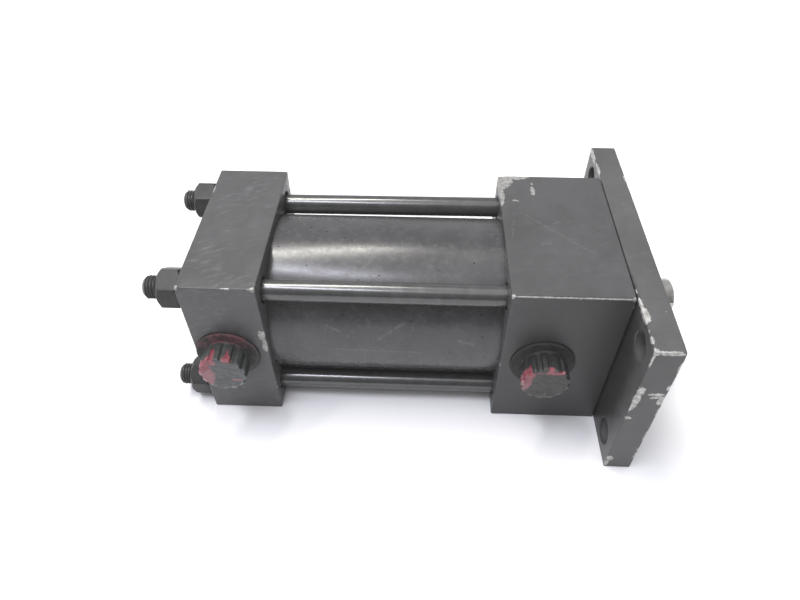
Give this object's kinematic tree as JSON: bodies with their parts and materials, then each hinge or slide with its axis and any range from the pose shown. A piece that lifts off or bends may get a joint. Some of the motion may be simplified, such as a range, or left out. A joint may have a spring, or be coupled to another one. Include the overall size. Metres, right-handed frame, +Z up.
{
  "type": "pneumatic cylinder",
  "caption": "Tie-rod air cylinder with square end blocks, a rectangular flange at the rod end, side ports closed by plastic plugs, and a sliding, freely turning piston rod.",
  "frame": {"origin": "under the middle of the overall length, on the plane that the end blocks and the flange stand on, in the vertical plane through the rod's axis", "axes": "+X along the cylinder towards the rod end; -Y is the side that the ports face; +Z up"},
  "size_m": [0.1826, 0.1048, 0.0635],
  "materials": {
    "block_paint": "dark grey satin paint with chips",
    "tube_paint": "dark satin paint, lightly pitted",
    "black_steel": "dark oiled steel",
    "rod_chrome": "ground and chromed, slightly stained",
    "bearing_bronze": "turned bronze",
    "piston_alloy": "turned",
    "seal_rubber": "matt",
    "band_plastic": "filled bearing plastic",
    "plug_plastic": "red moulded plastic under grey overspray"
  },
  "bodies": {
    "cylinder": {"cap_block": "block_paint", "head_block": "block_paint", "front_flange": "block_paint", "barrel_tube": "tube_paint", "tube_seal_cap": "seal_rubber", "tube_seal_head": "seal_rubber", "rod_gland": "bearing_bronze", "gland_o_ring": "seal_rubber", "rod_seal": "seal_rubber", "rod_wiper": "seal_rubber", "tie_rod_top_near": "black_steel", "tie_rod_top_far": "black_steel", "tie_rod_bottom_near": "black_steel", "tie_rod_bottom_far": "black_steel", "tie_nut_top_near": "black_steel", "tie_nut_top_far": "black_steel", "tie_nut_bottom_near": "black_steel", "tie_nut_bottom_far": "black_steel", "port_plug_cap": "plug_plastic", "port_plug_head": "plug_plastic"},
    "piston_packing": {"piston_seal_front": "seal_rubber", "piston_seal_rear": "seal_rubber", "piston_wear_band": "band_plastic"},
    "rod": {"piston_rod": "rod_chrome", "piston": "piston_alloy", "piston_o_ring": "seal_rubber", "piston_nut": "black_steel"}
  },
  "joints": [
    {"name": "rod_slide", "type": "slide", "parent": "cylinder", "child": "piston_packing", "axis": [1, 0, 0], "range_m": [0, 0.0508]},
    {"name": "rod_turn", "type": "hinge", "parent": "piston_packing", "child": "rod", "pos_m": [0, 0, 0.03175], "axis": [1, 0, 0], "continuous": true}
  ]
}
